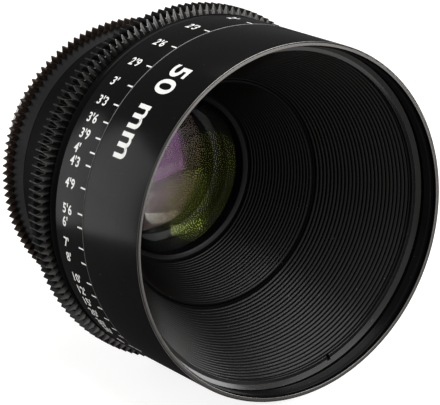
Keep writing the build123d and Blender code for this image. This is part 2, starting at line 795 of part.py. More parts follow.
cell_screw_circle = (iris_bay_inner + iris_unit_radius) / 2

with BuildPart() as carriage_barrel:
    turn((front_glass_radius + seat_gap, cell_front), (front_cell_radius, cell_front),
         (front_cell_radius, web_start), (sleeve_inner, web_start), (sleeve_inner, sleeve_start),
         (sleeve_radius, sleeve_start), (sleeve_radius, sleeve_end), (sleeve_inner, sleeve_end),
         (sleeve_inner, web_end), (front_cell_radius, web_end), (front_cell_radius, flange_front),
         (iris_unit_radius, flange_front), (iris_unit_radius, stack_start),
         (stop_glass_radius + seat_gap, stack_start), (stop_glass_radius + seat_gap, third_seat),
         (lip_radius, third_seat), (lip_radius, second_seat), (second_glass_radius + seat_gap, second_seat),
         (second_glass_radius + seat_gap, spacer_end), (front_glass_radius + seat_gap, spacer_end))
    for phi in key_angles:
        for depth in key_screw_depths:
            radial_rod(phi, depth, key_screw_radius + seat_gap, sleeve_inner - overrun,
                       sleeve_radius + overrun,
                       mode=Mode.SUBTRACT)
    axial_rods(cell_screw_count, cell_screw_circle, 0, cell_screw_radius + seat_gap,
               stack_start - cell_screw_bite - seat_gap, stack_start + overrun, mode=Mode.SUBTRACT)
carriage_barrel.part.label = "carriage_barrel"

mouth_outer = outer_baffle_end_radius - 3 * slip_gap
collar_outer = front_cell_radius + seat_gap + baffle_wall + slip_gap * 3
ring_front = first_edge - front_seat
with BuildPart() as inner_baffle:
    turn(*ribbed_line(inner_baffle_mouth, outer_baffle_end, inner_baffle_end_radius + slip_gap, ring_front,
                      inner_rib_count, rib_height - slip_gap),
         (inner_baffle_end_radius + slip_gap, cell_front - seat_gap),
         (front_cell_radius + seat_gap, cell_front - seat_gap),
         (front_cell_radius + seat_gap, ring_front + baffle_collar),
         (collar_outer, ring_front + baffle_collar),
         (collar_outer, ring_front), (mouth_outer, outer_baffle_end))
inner_baffle.part.label = "inner_ribbed_baffle"

with BuildPart() as front_retainer:
    turn((glass_ring_inner, (ring_front + cell_front) / 2), (inner_baffle_end_radius, ring_front),
         (inner_baffle_end_radius, cell_front - seat_gap), (front_glass_radius, cell_front - seat_gap),
         (front_glass_radius, first_front + sag(front_glass[0], glass_ring_inner) - seat_gap),
         (glass_ring_inner, first_front + sag(front_glass[0], glass_ring_inner) - seat_gap))
front_retainer.part.label = "front_retaining_ring"

with BuildPart() as front_spacer:
    tube(front_spacer_inner, front_glass_radius, first_back + seat_gap, spacer_end - seat_gap)
front_spacer.part.label = "front_spacer"

second_ring_inner = second_glass_radius - spacer_face
second_ring_end = second_front + sag(second_glass[0], second_ring_inner) - seat_gap
with BuildPart() as second_retainer:
    tube(second_ring_inner, second_glass_radius, second_ring_end - glass_ring_wall, second_ring_end)
second_retainer.part.label = "second_retaining_ring"

with BuildPart() as stop_retainer:
    tube(stop_edge, stop_glass_radius, stop_face + seat_gap, stack_start)
stop_retainer.part.label = "stop_retaining_ring"

sixth_spacer_radius = rear_glass_radius - spacer_width
cell_step = sixth_rear + sag(rear_doublet_b[1], sixth_spacer_radius) + seat_gap
seventh_face = seventh_front + sag(relay_glass[0], sixth_spacer_radius) - seat_gap
last_spacer_radius = rear_glass_radius - last_spacer_width
last_spacer_start = seventh_rear + sag(relay_glass[1], last_spacer_radius) + seat_gap
last_spacer_end = eighth_front + sag(last_glass_a[0], last_spacer_radius) - seat_gap
last_ring_start = ninth_rear + sag(last_glass_b[1], rear_glass_radius) + seat_gap
rear_cell_end = last_ring_start + rear_ring_thickness

with BuildPart() as rear_cell:
    turn((rear_stop_edge, bay_end), (iris_unit_radius, bay_end), (iris_unit_radius, lip_end),
         (rear_cell_radius, lip_end), (rear_cell_radius, rear_cell_end),
         (rear_glass_radius + seat_gap, rear_cell_end),
         (rear_glass_radius + seat_gap, cell_step), (rear_doublet_radius + seat_gap, cell_step),
         (rear_doublet_radius + seat_gap, lip_end), (rear_stop_edge, lip_end))
    axial_rods(cell_screw_count, cell_screw_circle, 0, cell_screw_radius + screw_clearance,
               bay_end - overrun,
               lip_end + overrun, mode=Mode.SUBTRACT)
rear_cell.part.label = "rear_cell"

with BuildPart() as relay_spacer:
    tube(sixth_spacer_radius, rear_glass_radius, cell_step + seat_gap, seventh_face)
relay_spacer.part.label = "relay_spacer"

with BuildPart() as last_spacer:
    tube(last_spacer_radius, rear_glass_radius, last_spacer_start, last_spacer_end)
last_spacer.part.label = "last_spacer"

with BuildPart() as rear_retainer:
    tube(rear_glass_radius - glass_ring_wall, rear_glass_radius, last_ring_start, rear_cell_end)
rear_retainer.part.label = "rear_retaining_ring"

with BuildPart() as guide_keys:
    tube(key_foot, key_top, key_start, key_end)
    add(key_lanes(key_width, key_foot - overrun, key_top + overrun, key_start, key_end),
        mode=Mode.INTERSECT)
    for phi in key_angles:
        for depth in key_screw_depths:
            radial_rod(phi, depth, key_screw_radius + seat_gap, key_foot - overrun, key_top + overrun,
                       mode=Mode.SUBTRACT)
            radial_rod(phi, depth, key_screw_head + seat_gap, key_top - key_screw_deep - 3 * slip_gap,
                       key_top + overrun, mode=Mode.SUBTRACT)
guide_keys.part.label = "guide_keys"

with BuildPart() as key_screws:
    for phi in key_angles:
        for depth in key_screw_depths:
            radial_rod(phi, depth, key_screw_radius, sleeve_inner + slip_gap,
                       key_top - 2 * slip_gap - key_screw_deep)
            radial_rod(phi, depth, key_screw_head, key_top - 2 * slip_gap - key_screw_deep,
                       key_top - 2 * slip_gap)
key_screws.part.label = "key_screws"

with BuildPart() as cell_screws:
    axial_rods(cell_screw_count, cell_screw_circle, 0, cell_screw_radius, stack_start - cell_screw_bite,
               lip_end + cell_screw_deep)
    axial_rods(cell_screw_count, cell_screw_circle, 0, cell_screw_head, lip_end, lip_end + cell_screw_deep)
cell_screws.part.label = "cell_screws"

# The iris: each blade turns on a pin in the base plate and is led by a slot in the actuator ring

fork_width = drive_bar_width + 2 * slip_gap
fork_reach = rail_outer - 4 * slip_gap
arm_width = fork_width + 2 * fork_prong
arm_angle = across(arm_width / 2 + slip_gap, iris_bay_inner)
pin_hole = blade_pin_radius + running_gap
blade_ratio = blade_turn / iris_throw
blade_step = 360 / blade_count

with BuildPart() as base_plate:
    tube(aperture_radius + 2 * slip_gap, iris_unit_radius, stack_start, stack_start + base_thickness)
    axial_rods(blade_count, pivot_circle, 0, pin_hole, stack_start - overrun,
               stack_start + base_thickness + overrun, mode=Mode.SUBTRACT)
    axial_rods(cell_screw_count, cell_screw_circle, 0, cell_screw_radius + screw_clearance,
               stack_start - overrun,
               stack_start + base_thickness + overrun, mode=Mode.SUBTRACT)
base_plate.part.label = "iris_base_plate"

with BuildPart() as iris_housing:
    tube(iris_bay_inner, iris_unit_radius, stack_start + base_thickness, bay_end)
    sector(iris_bay_inner - overrun, iris_unit_radius + overrun, actuator_start - 2 * slip_gap,
           bay_end + overrun,
           drive_phi - arm_angle, iris_throw + 2 * arm_angle, mode=Mode.SUBTRACT)
    axial_rods(cell_screw_count, cell_screw_circle, 0, cell_screw_radius + screw_clearance,
               stack_start + base_thickness - overrun, bay_end + overrun, mode=Mode.SUBTRACT)
iris_housing.part.label = "iris_housing"


def slot_point(turned):
    """Where a blade's drive pin stands in the actuator ring when the blade has turned so far."""
    pivot = Vector(pivot_circle, 0)
    pin = pivot + Vector(0, -drive_pin_offset).rotate(Axis.Z, turned)
    return pin.rotate(Axis.Z, -turned / blade_ratio)


slot_line = ThreePointArc(slot_point(0), slot_point(blade_turn / 2), slot_point(blade_turn))
with BuildPart() as actuator_ring:
    tube(actuator_inner, actuator_outer, actuator_start, actuator_end)
    with BuildSketch(facing_front(actuator_end)) as slots:
        with PolarLocations(0, blade_count):
            SlotArc(slot_line, 2 * (blade_pin_radius + slip_gap))
    extrude(slots.sketch, amount=actuator_thickness, mode=Mode.SUBTRACT)
    radial_block(drive_phi, (actuator_start + actuator_end) / 2, actuator_thickness, arm_width,
                 actuator_outer - slip_gap * 5, fork_reach)
    radial_block(drive_phi, (actuator_start + actuator_end) / 2, actuator_thickness + overrun, fork_width,
                 rail_inner - 5 * slip_gap, fork_reach + overrun, mode=Mode.SUBTRACT)
actuator_ring.part.label = "iris_actuator_ring"

blades = []
for index in range(blade_count):
    blade_front = blades_start + index * blade_pitch
    blade_back = blade_front + blade_thickness
    outer_end = (blade_outer * cos(radians(blade_span)), blade_outer * sin(radians(blade_span)))
    inner_end = (aperture_radius * cos(radians(blade_span)), aperture_radius * sin(radians(blade_span)))
    with BuildPart() as iris_blade:
        with BuildSketch(facing_front(blade_back, index * blade_step)) as outline:
            with BuildLine():
                CenterArc((0, 0), blade_outer, 0, blade_span)
                Line(outer_end, inner_end)
                CenterArc((0, 0), aperture_radius, 0, blade_span)
                Line((aperture_radius, 0), (blade_outer, 0))
            make_face()
            with BuildSketch(mode=Mode.PRIVATE) as tab:
                with Locations((pivot_circle, 0), (pivot_circle, -drive_pin_offset),
                               (blade_outer - tab_radius, tab_radius),
                               (aperture_radius + tab_radius, tab_radius)):
                    Circle(tab_radius)
                make_hull()
            add(tab.sketch)
        extrude(amount=blade_thickness)
        with BuildSketch(facing_front(blade_front, index * blade_step)) as pivot_pin:
            with Locations((pivot_circle, 0)):
                Circle(blade_pin_radius)
        extrude(amount=blade_front - stack_start - slip_gap)
        with BuildSketch(facing_front(actuator_end - slip_gap, index * blade_step)) as drive_pin:
            with Locations((pivot_circle, -drive_pin_offset)):
                Circle(blade_pin_radius)
        extrude(amount=actuator_end - slip_gap - blade_back)
    iris_blade.part.label = f"iris_blade_{index + 1}"
    blades.append(iris_blade)

pieces = [front_barrel, baffle_ring, outer_baffle, main_barrel, barrel_screws, focus_retainer, rear_housing,
          housing_screws, rear_cover, mount_shim, mount_flange, mount_screws, tail_baffle, helicoid_ring,
          scale_ring, focus_gear, stop_pin, ring_screws, iris_ring, iris_gear, drive_bar, front_element,
          second_element, third_element, fourth_element, fifth_element, sixth_element, seventh_element,
          eighth_element, ninth_element, carriage_barrel, inner_baffle, front_retainer, front_spacer,
          second_retainer, stop_retainer, rear_cell, relay_spacer, last_spacer, rear_retainer, guide_keys,
          key_screws, cell_screws, base_plate, iris_housing, actuator_ring, *blades]
os.makedirs("parts", exist_ok=True)
for piece in pieces:
    export_step(piece.part, f"parts/{piece.part.label}.step")
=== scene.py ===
import json
from math import cos, degrees, hypot, log, pi, radians, sin, sqrt

import bpy
from mathutils import Matrix, Quaternion, Vector


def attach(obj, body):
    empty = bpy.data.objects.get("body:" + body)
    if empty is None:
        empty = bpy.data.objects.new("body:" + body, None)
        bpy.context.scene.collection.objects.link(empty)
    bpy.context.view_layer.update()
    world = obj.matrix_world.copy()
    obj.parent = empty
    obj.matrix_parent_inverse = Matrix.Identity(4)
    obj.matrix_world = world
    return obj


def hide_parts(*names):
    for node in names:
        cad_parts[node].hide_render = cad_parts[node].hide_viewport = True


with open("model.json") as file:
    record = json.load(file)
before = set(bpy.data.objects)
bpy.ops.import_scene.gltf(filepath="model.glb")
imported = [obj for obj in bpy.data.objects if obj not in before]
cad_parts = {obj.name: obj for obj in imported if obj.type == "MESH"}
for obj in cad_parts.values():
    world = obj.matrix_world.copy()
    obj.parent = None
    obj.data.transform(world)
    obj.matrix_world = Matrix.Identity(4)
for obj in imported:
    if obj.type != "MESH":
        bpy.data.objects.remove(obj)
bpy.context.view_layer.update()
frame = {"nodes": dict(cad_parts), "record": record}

# Depths are in millimetres behind the front rim, and phi goes round the optical axis from the
# top towards the left of someone who looks into the lens.
MM = 0.001
FLANGE = 118.0
ROUND = 240  # corners of a turned circle
BARREL_RADIUS = 57.0
IRIS_RADIUS = 46.3
FAR_PHI = 136.98  # where the distance scale reaches infinity, and the mark that it is read against
IRIS_INDEX_PHI = 190
IRIS_TRAVEL = 40


def y_of(depth):
    return (depth - FLANGE) * MM


def on_ring(radius, depth, phi):
    turned = radians(phi)
    return Vector((-radius * MM * sin(turned), y_of(depth), radius * MM * cos(turned)))


# ---------------------------------------------------------------- finishes

def group(name, inputs, outputs):
    tree = bpy.data.node_groups.new(name, "ShaderNodeTree")
    for label, kind, value in inputs:
        socket = tree.interface.new_socket(label, in_out="INPUT", socket_type=kind)
        socket.default_value = value
    for label, kind in outputs:
        tree.interface.new_socket(label, in_out="OUTPUT", socket_type=kind)
    return tree, tree.nodes.new("NodeGroupInput"), tree.nodes.new("NodeGroupOutput")


def math(tree, operation, a, b=None, c=None, clamp=False):
    node = tree.nodes.new("ShaderNodeMath")
    node.operation = operation
    node.use_clamp = clamp
    for socket, value in zip(node.inputs, (a, b, c)):
        if value is None:
            continue
        if isinstance(value, (int, float)):
            socket.default_value = value
        else:
            tree.links.new(value, socket)
    return node.outputs[0]


def noise(tree, vector, scale, detail=3.0, roughness=0.5):
    node = tree.nodes.new("ShaderNodeTexNoise")
    node.inputs["Detail"].default_value = detail
    node.inputs["Roughness"].default_value = roughness
    tree.links.new(vector, node.inputs["Vector"])
    if isinstance(scale, (int, float)):
        node.inputs["Scale"].default_value = scale
    else:
        tree.links.new(scale, node.inputs["Scale"])
    return node.outputs["Fac"]


def polar(tree):
    """Radius, depth along the axis and angle of the shaded point, from its Object coordinates."""
    place = tree.nodes.new("ShaderNodeTexCoord").outputs["Object"]
    split = tree.nodes.new("ShaderNodeSeparateXYZ")
    tree.links.new(place, split.inputs[0])
    x, y, z = split.outputs
    square = math(tree, "ADD", math(tree, "MULTIPLY", x, x), math(tree, "MULTIPLY", z, z))
    return place, math(tree, "SQRT", square), y, math(tree, "ARCTAN2", x, z)


def turning_marks():
    """Fine grooves that a lathe leaves, the same all round the axis, with slow streaks round it."""
    tree, given, out = group("turning_marks",
                             [("Fineness", "NodeSocketFloat", 9000.0), ("Streaks", "NodeSocketFloat", 0.3)],
                             [("Height", "NodeSocketFloat"), ("Tone", "NodeSocketFloat")])
    place, radius, y, angle = polar(tree)
    round_share = 0.00002  # so small that the grooves hardly change round the axis
    join = tree.nodes.new("ShaderNodeCombineXYZ")
    tree.links.new(radius, join.inputs[0])
    tree.links.new(y, join.inputs[1])
    tree.links.new(math(tree, "MULTIPLY", angle, round_share), join.inputs[2])
    fine = noise(tree, join.outputs[0], given.outputs["Fineness"], 2.0, 0.6)
    broad = noise(tree, place, 55.0, 4.0, 0.55)
    streak = math(tree, "MULTIPLY", math(tree, "SUBTRACT", broad, 0.5), given.outputs["Streaks"])
    tree.links.new(fine, out.inputs["Height"])
    tree.links.new(math(tree, "ADD", fine, streak), out.inputs["Tone"])
    return tree


def anodised_grain():
    """The tiny sparkle and cloudiness of an anodised skin."""
    tree, given, out = group("anodised_grain", [("Scale", "NodeSocketFloat", 5200.0)],
                             [("Grain", "NodeSocketFloat"), ("Cloud", "NodeSocketFloat")])
    place = tree.nodes.new("ShaderNodeTexCoord").outputs["Object"]
    tree.links.new(noise(tree, place, given.outputs["Scale"], 3.0, 0.7), out.inputs["Grain"])
    tree.links.new(noise(tree, place, 70.0, 3.0, 0.5), out.inputs["Cloud"])
    return tree


def handling_wear():
    """Where hands and cases rub: broken patches outside a radius, and dust specks."""
    tree, given, out = group("handling_wear",
                             [("Radius", "NodeSocketFloat", 0.1), ("Fade", "NodeSocketFloat", 0.0002),
                              ("Breakup", "NodeSocketFloat", 900.0)],
                             [("Rubbed", "NodeSocketFloat"), ("Dust", "NodeSocketFloat")])
    place, radius = polar(tree)[:2]
    past = math(tree, "DIVIDE", math(tree, "SUBTRACT", radius, given.outputs["Radius"]), given.outputs["Fade"],
                clamp=True)
    patch = noise(tree, place, given.outputs["Breakup"], 3.0, 0.6)
    tree.links.new(math(tree, "MULTIPLY", past, math(tree, "MULTIPLY_ADD", patch, 3.0, -0.9, clamp=True)),
                   out.inputs["Rubbed"])
    speck = noise(tree, place, 1500.0, 1.0, 0.4)
    tree.links.new(math(tree, "MULTIPLY_ADD", speck, 14.0, -10.9, clamp=True), out.inputs["Dust"])
    return tree


MARKS, GRAIN, WEAR = turning_marks(), anodised_grain(), handling_wear()


def place_group(tree, made, **values):
    node = tree.nodes.new("ShaderNodeGroup")
    node.node_tree = made
    for name, value in values.items():
        node.inputs[name].default_value = value
    return node.outputs


def blend_colour(tree, share, first, second):
    node = tree.nodes.new("ShaderNodeMix")
    node.data_type = "RGBA"
    tree.links.new(share, node.inputs["Factor"])
    for socket, value in ((node.inputs[6], first), (node.inputs[7], second)):
        if isinstance(value, tuple):
            socket.default_value = (*value, 1)
        else:
            tree.links.new(value, socket)
    return node.outputs[2]


def finish_of(name, colour, bright, roughness, metallic=0.0, specular=0.5, fineness=9000.0, depth=0.02,
              rub_from=0.1, rubbed=(0.3, 0.3, 0.3), dust=(0.16, 0.16, 0.155), satin=0.0, satin_roughness=0.22):
    """A turned and finished metal: marks, grain, rubbed places and dust over one base colour."""
    material = bpy.data.materials.new(name)
    material.use_nodes = True
    tree = material.node_tree
    shader = tree.nodes["Principled BSDF"]
    shader.inputs["Metallic"].default_value = metallic
    shader.inputs["Specular IOR Level"].default_value = specular
    shader.inputs["Coat Roughness"].default_value = satin_roughness
    marks = place_group(tree, MARKS, Fineness=fineness)
    grain = place_group(tree, GRAIN)
    wear = place_group(tree, WEAR, Radius=rub_from)
    tone = math(tree, "MULTIPLY_ADD", marks["Tone"], 0.7, math(tree, "MULTIPLY", grain["Grain"], 0.3), clamp=True)
    base = blend_colour(tree, tone, colour, bright)
    base = blend_colour(tree, wear["Rubbed"], base, rubbed)
    base = blend_colour(tree, math(tree, "MULTIPLY", wear["Dust"], 0.6), base, dust)
    tree.links.new(base, shader.inputs["Base Color"])
    spread = math(tree, "MULTIPLY_ADD", math(tree, "SUBTRACT", grain["Cloud"], 0.5), 0.2, roughness)
    spread = math(tree, "MULTIPLY_ADD", math(tree, "SUBTRACT", marks["Tone"], 0.5), 0.12, spread)
    spread = math(tree, "MULTIPLY_ADD", wear["Dust"], 0.3, spread, clamp=True)
    tree.links.new(spread, shader.inputs["Roughness"])
    if satin:
        sheen = math(tree, "MULTIPLY_ADD", math(tree, "SUBTRACT", tone, 0.5), 0.9, 1.0)
        sheen = math(tree, "MULTIPLY_ADD", wear["Rubbed"], 1.5, sheen)
        tree.links.new(math(tree, "MULTIPLY", sheen, satin, clamp=True), shader.inputs["Coat Weight"])
    bump = tree.nodes.new("ShaderNodeBump")
    bump.inputs["Strength"].default_value = 0.35
    bump.inputs["Distance"].default_value = depth * MM
    height = math(tree, "MULTIPLY_ADD", grain["Grain"], 0.4, marks["Height"])
    tree.links.new(height, bump.inputs["Height"])
    tree.links.new(bump.outputs[0], shader.inputs["Normal"])
    return material


BLACK_ANODISED = finish_of("black_anodised", (0.0012, 0.0012, 0.0014), (0.0026, 0.0026, 0.0029), 0.5,
                           specular=0.0, satin=0.085, satin_roughness=0.2)
BLACK_INSIDE = finish_of("black_inside", (0.0012, 0.0012, 0.0013), (0.0025, 0.0025, 0.0027), 0.5, specular=0.0,
                         satin=0.05, satin_roughness=0.35)
BEAD_POLISH = finish_of("bead_polish", (0.0015, 0.0015, 0.0017), (0.003, 0.003, 0.0033), 0.4, specular=0.0,
                        satin=0.06, satin_roughness=0.2)
# The front rim is seen at a flat angle and shows grey beside the black barrel.
RIM_ANODISED = finish_of("rim_anodised", (0.06, 0.058, 0.055), (0.095, 0.091, 0.088), 0.3, metallic=1.0)
# A pale grey for the scale ring's front chamfer: a painted highlight of the glint along that edge.
EDGE_PAINTED_HIGHLIGHT = finish_of("painted_highlight_edge", (0.1, 0.097, 0.095), (0.16, 0.155, 0.15), 0.6, specular=0.2)
MATT_BAFFLE = finish_of("matt_black_baffle", (0.002, 0.0018, 0.0016), (0.004, 0.0036, 0.0033), 0.5,
                        specular=0.0, satin=0.3, satin_roughness=0.3, fineness=14000.0, depth=0.008)
GEAR_FOCUS = finish_of("focus_gear_anodised", (0.002, 0.0019, 0.0018), (0.005, 0.0047, 0.0043), 0.4,
                       specular=0.0, satin=0.09, satin_roughness=0.24, rub_from=0.05895,
                       rubbed=(0.012, 0.0115, 0.011))
# A lighter grey metal for the front faces of the focus gear's teeth: a painted highlight, lighter than the gear's own
# black.
GEAR_FACES_PAINTED_HIGHLIGHT = finish_of("gear_end_faces_painted_highlight", (0.075, 0.073, 0.071), (0.11, 0.107, 0.104), 0.3, metallic=1.0)
GEAR_IRIS = finish_of("iris_gear_anodised", (0.006, 0.004, 0.003), (0.016, 0.0105, 0.0078), 0.4, specular=0.0,
                      satin=0.1, satin_roughness=0.3, rub_from=0.0477, rubbed=(0.07, 0.042, 0.028))
IRIS_ANODISED = finish_of("iris_ring_anodised", (0.0016, 0.0015, 0.0017), (0.0034, 0.0032, 0.0035), 0.5,
                          specular=0.0, satin=0.2, satin_roughness=0.26)
GREY_ANODISED = finish_of("grey_anodised", (0.004, 0.0039, 0.0042), (0.009, 0.0088, 0.0096), 0.4, specular=0.0,
                          satin=0.12, satin_roughness=0.25, fineness=16000.0)
PALE_RING = finish_of("pale_ring", (0.004, 0.0039, 0.0038), (0.008, 0.0078, 0.0075), 0.4, specular=0.0,
                      satin=0.45, satin_roughness=0.22, fineness=16000.0)
MOUNT_STEEL = finish_of("mount_steel", (0.42, 0.41, 0.39), (0.6, 0.59, 0.57), 0.26, metallic=1.0,
                        rubbed=(0.7, 0.69, 0.67), rub_from=0.0325, depth=0.006, fineness=12000.0)
KEY_BRONZE = finish_of("key_bronze", (0.32, 0.19, 0.07), (0.46, 0.3, 0.13), 0.32, metallic=1.0)
BLADE_STEEL = finish_of("blade_steel", (0.018, 0.018, 0.019), (0.035, 0.035, 0.037), 0.4, metallic=0.6)
SCREW_STEEL = finish_of("screw_steel", (0.045, 0.045, 0.047), (0.09, 0.09, 0.092), 0.3, metallic=0.9)
WHITE_FILL = finish_of("white_filling", (0.6, 0.6, 0.58), (0.74, 0.74, 0.72), 0.55, specular=0.3, depth=0.01,
                       dust=(0.45, 0.44, 0.42))


def coated_glass(name, tint):
    """Polished glass whose coating colours what it reflects."""
    body = (0.97, 0.98, 0.97)
    material = bpy.data.materials.new(name)
    material.use_nodes = True
    tree = material.node_tree
    shader = tree.nodes["Principled BSDF"]
    shader.inputs["Transmission Weight"].default_value = 1.0
    shader.inputs["IOR"].default_value = 1.52
    shader.inputs["Specular Tint"].default_value = (*tint, 1)
    grain = place_group(tree, GRAIN, Scale=900.0)
    tree.links.new(blend_colour(tree, grain["Cloud"], body, tuple(0.985 * part for part in body)),
                   shader.inputs["Base Color"])
    wear = place_group(tree, WEAR, Radius=0.2)
    tree.links.new(math(tree, "MULTIPLY_ADD", wear["Dust"], 0.02, 0.003, clamp=True), shader.inputs["Roughness"])
    return material


RED_COAT = coated_glass("red_coated_glass", (0.12, 0.025, 0.02))
PURPLE_COAT = coated_glass("purple_coated_glass", (0.42, 0.1, 0.5))
GREEN_COAT = coated_glass("green_coated_glass", (0.14, 0.16, 0.02))
AMBER_COAT = coated_glass("amber_coated_glass", (0.06, 0.035, 0.025))


# ---------------------------------------------------------------- modelling

def edit(piece):
    bpy.ops.object.select_all(action="DESELECT")
    bpy.context.view_layer.objects.active = piece
    piece.select_set(True)
    bpy.ops.object.mode_set(mode="EDIT")


def leave():
    bpy.ops.object.mode_set(mode="OBJECT")


def apply_modifier(piece, kind, **settings):
    bpy.ops.object.select_all(action="DESELECT")
    bpy.context.view_layer.objects.active = piece
    piece.select_set(True)
    modifier = piece.modifiers.new(kind.lower(), kind)
    for name, value in settings.items():
        setattr(modifier, name, value)
    bpy.ops.object.modifier_apply(modifier=modifier.name)


def smooth(piece):
    bpy.ops.object.select_all(action="DESELECT")
    bpy.context.view_layer.objects.active = piece
    piece.select_set(True)
    bpy.ops.object.shade_smooth_by_angle(angle=radians(28))


def dress(piece, material, body=None, replaces=()):
    piece.data.materials.clear()
    piece.data.materials.append(material)
    if replaces:
        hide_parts(*replaces)
    if body:
        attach(piece, body)
    return piece


def ring_at(radius, depth, around):
    """A circle round the axis, ready to be extruded."""
    bpy.ops.object.select_all(action="DESELECT")
    bpy.ops.mesh.primitive_circle_add(vertices=around, radius=radius * MM, fill_type="NOTHING",
                                      rotation=(pi / 2, 0, 0), location=(0, y_of(depth), 0))
    bpy.ops.object.transform_apply(location=True, rotation=True, scale=True)
    return bpy.context.object


def turned(name, outline, around=ROUND, closed=True, edge=0.0):
    """A turned piece: its first circle is extruded and resized from one corner to the next."""
    radius, depth = outline[0]
    piece = ring_at(radius, depth, around)
    piece.name = name
    edit(piece)
    bpy.ops.mesh.select_all(action="SELECT")
    for next_radius, next_depth in outline[1:]:
        bpy.ops.mesh.extrude_edges_move(TRANSFORM_OT_translate={"value": (0, (next_depth - depth) * MM, 0)})
        share = next_radius / radius
        bpy.ops.transform.resize(value=(share, 1, share), center_override=(0, y_of(next_depth), 0))
        radius, depth = next_radius, next_depth
    if closed:
        bpy.ops.mesh.select_all(action="DESELECT")
        bpy.ops.mesh.select_non_manifold()
        bpy.ops.mesh.bridge_edge_loops()
    else:
        bpy.ops.mesh.edge_face_add()
        bpy.ops.mesh.select_all(action="DESELECT")
        bpy.ops.mesh.select_non_manifold()
        bpy.ops.mesh.edge_face_add()
    bpy.ops.mesh.select_all(action="SELECT")
    bpy.ops.mesh.normals_make_consistent(inside=False)
    leave()
    if edge:
        apply_modifier(piece, "BEVEL", width=edge * MM, segments=2, limit_method="ANGLE", angle_limit=radians(40))
    smooth(piece)
    return piece


def sag(curve, height):
    """How far a curved face has fallen back at a height from the axis."""
    return curve - (1 if curve > 0 else -1) * sqrt(curve * curve - height * height)


def lens_element(name, node, coatings, vertex, front, rear, thickness, rim, front_edge, rear_edge):
    """A lens: two coated curves out to their edges, and a ground edge between them."""
    rings = 22
    spread = [0.004] + [index / rings for index in range(1, rings + 1)]
    outline = [(front_edge * share, vertex + sag(front, front_edge * share)) for share in spread]
    if front_edge < rim:
        outline.append((rim, vertex + sag(front, front_edge)))
    back = vertex + thickness
    if rear_edge < rim:
        outline.append((rim, back + sag(rear, rear_edge)))
    outline += [(rear_edge * share, back + sag(rear, rear_edge * share)) for share in reversed(spread)]
    piece = turned(name, outline, around=128, closed=False)
    dress(piece, coatings[0], "optical_carriage", (node,))
    piece.data.materials.append(coatings[1])
    for face in piece.data.polygons:
        face.material_index = int(face.normal.y > 0)
    return piece


TOOTH_CORNERS = (-0.43, -0.065, 0.065, 0.43)  # root, crest, crest, root, as shares of one tooth's step
REAR_LEAN = 0.5  # the lean of the rear face, as a share of the front one's


def toothed(name, teeth, tip, root, bore, start, end, edge, lean):
    """A gear: a circle whose tooth corners are drawn out, extruded along the axis, with broken edges."""
    piece = ring_at(root, start, teeth * 4)
    piece.name = name
    step = 360 / teeth
    for index, vertex in enumerate(piece.data.vertices):
        tooth, corner = divmod(index, 4)
        place = (tooth + TOOTH_CORNERS[corner]) * step
        vertex.co = on_ring(tip if corner in (1, 2) else root, start, place)
    edit(piece)
    bpy.ops.mesh.select_mode(type="VERT")
    bpy.ops.mesh.select_all(action="SELECT")
    bpy.ops.mesh.extrude_edges_move(TRANSFORM_OT_translate={"value": (0, (end - start) * MM, 0)})
    leave()
    piece.data.update()
    crests = [v for v in piece.data.vertices if hypot(v.co.x, v.co.z) > 0.5 * (tip + root) * MM]
    for vertex in crests:
        at_front = abs(vertex.co.y - y_of(start)) < 1e-6
        vertex.co.y += lean * MM if at_front else -REAR_LEAN * lean * MM
    middle = y_of((start + end) / 2)
    for side in (-1, 1):
        edit(piece)
        bpy.ops.mesh.select_mode(type="VERT")
        bpy.ops.mesh.select_all(action="DESELECT")
        leave()
        outer = [v for v in piece.data.vertices
                 if (v.co.y - middle) * side > 0 and hypot(v.co.x, v.co.z) > bore * MM * 1.001]
        for vertex in outer:
            vertex.select = True
        edit(piece)
        bpy.ops.mesh.extrude_edges_move(TRANSFORM_OT_translate={"value": (0, 0, 0)})
        leave()
        fresh = [v for v in piece.data.vertices if v.select]
        for vertex in fresh:
            out = hypot(vertex.co.x, vertex.co.z)
            vertex.co.x *= bore * MM / out
            vertex.co.z *= bore * MM / out
            vertex.co.y = y_of(end if side > 0 else start)
    edit(piece)
    bpy.ops.mesh.select_all(action="DESELECT")
    bpy.ops.mesh.select_non_manifold()
    bpy.ops.mesh.bridge_edge_loops()
    bpy.ops.mesh.select_all(action="SELECT")
    bpy.ops.mesh.normals_make_consistent(inside=False)
    leave()
    apply_modifier(piece, "BEVEL", width=edge * MM, segments=1, limit_method="ANGLE", angle_limit=radians(35))
    return piece


def wrapped(words, radius):
    """Characters laid on a ring, as one mesh. Each is (text, phi, depth, height, way, align, weight)."""
    lift, thick, capital = 0.02, 0.05, 0.7  # the last is the height of a capital, as a share of the font's size
    pieces = []
    for text, phi, depth, height, way, align, weight in words:
        bpy.ops.object.select_all(action="DESELECT")
        bpy.ops.object.text_add()
        letters = bpy.context.object
        letters.data.body = text
        letters.data.size = height / capital
        letters.data.offset = weight
        letters.data.align_x = align
        letters.data.align_y = "CENTER"
        letters.data.space_character = 1.06
        letters.data.resolution_u = 6
        letters.data.extrude = thick / 2
        bpy.ops.object.convert(target="MESH")
        letters = bpy.context.object
        middle = sum((Vector(corner).y for corner in letters.bound_box), 0.0) / 8
        for vertex in letters.data.vertices:
            along, up, out = vertex.co
            up -= middle
            if way == "forward":
                place = on_ring(radius + lift + out, depth - along, phi - degrees(up / radius))
            else:
                place = on_ring(radius + lift + out, depth - up, phi + degrees(along / radius))
            vertex.co = place
        pieces.append(letters)
    bpy.ops.object.select_all(action="DESELECT")
    for letters in pieces:
        letters.select_set(True)
    bpy.context.view_layer.objects.active = pieces[0]
    if len(pieces) > 1:
        bpy.ops.object.join()
    return bpy.context.object


